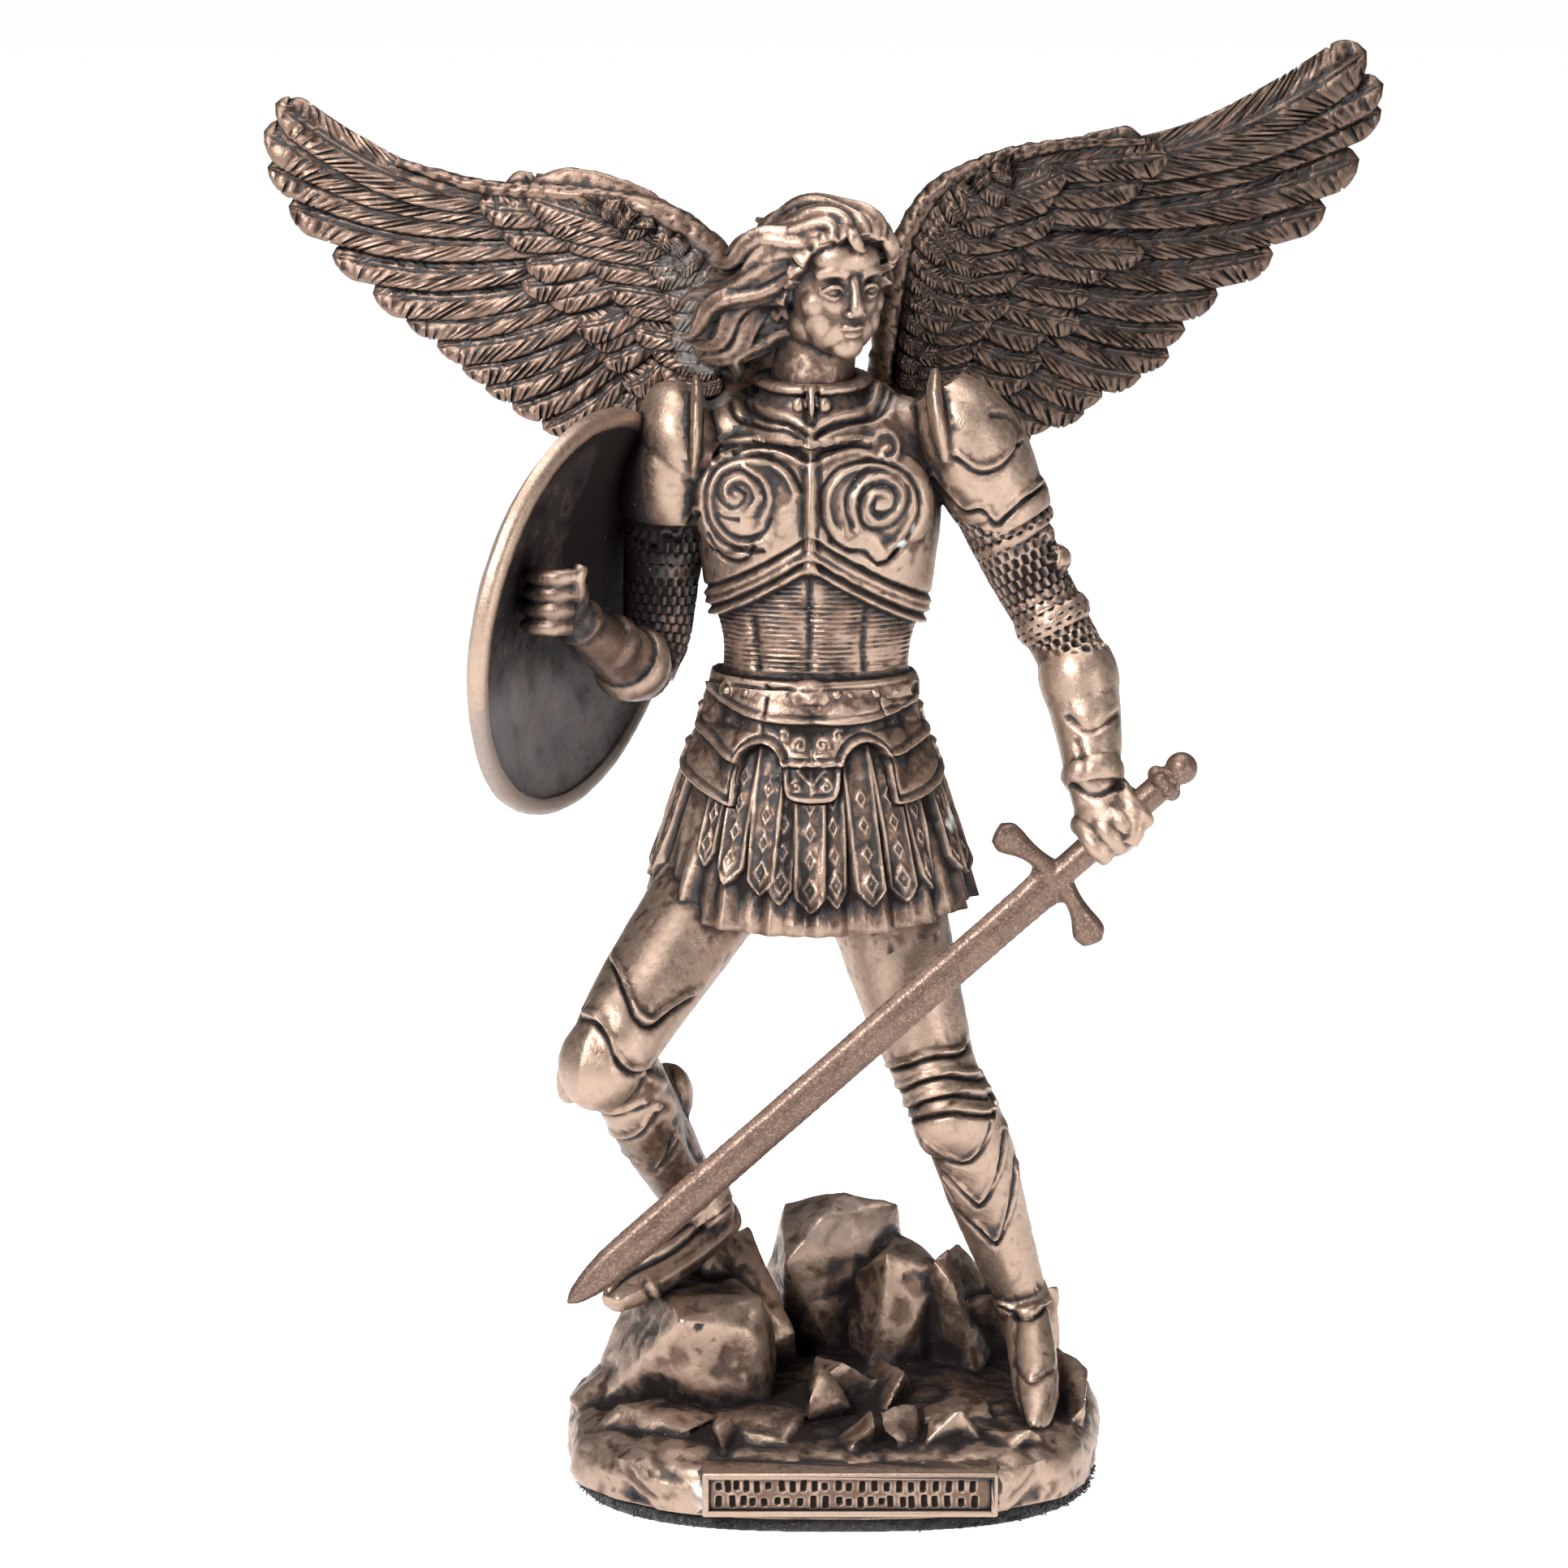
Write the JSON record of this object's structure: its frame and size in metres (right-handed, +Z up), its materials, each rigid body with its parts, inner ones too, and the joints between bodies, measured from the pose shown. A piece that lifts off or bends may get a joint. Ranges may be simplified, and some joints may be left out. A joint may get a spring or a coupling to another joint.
{
  "type": "archangel statuette",
  "caption": "Small cast statuette of a winged archangel in plate armour, with a round shield and a lowered sword, standing on a rocky base with a framed tablet and a felt underside.",
  "frame": {"origin": "middle of the felt's underside, below the figure's line, in the plane that it stands on", "axes": "+Z up, +X to the viewer's right as the figure's tablet faces the viewer, +Y away from the viewer, towards the wings"},
  "size_m": [0.0807, 0.0346, 0.1021],
  "materials": {
    "cast_bronze": "resin cast with bronze powder, dark wash in the recesses, rubbed brighter on the high places",
    "blade_bronze": "even glittering bronze paint without a wash",
    "black_felt": "fuzzy black felt"
  },
  "bodies": {
    "root": {"statue": "cast_bronze", "left_wing": "cast_bronze", "right_wing": "cast_bronze", "sword": "blade_bronze", "felt_pad": "black_felt"}
  },
  "joints": []
}
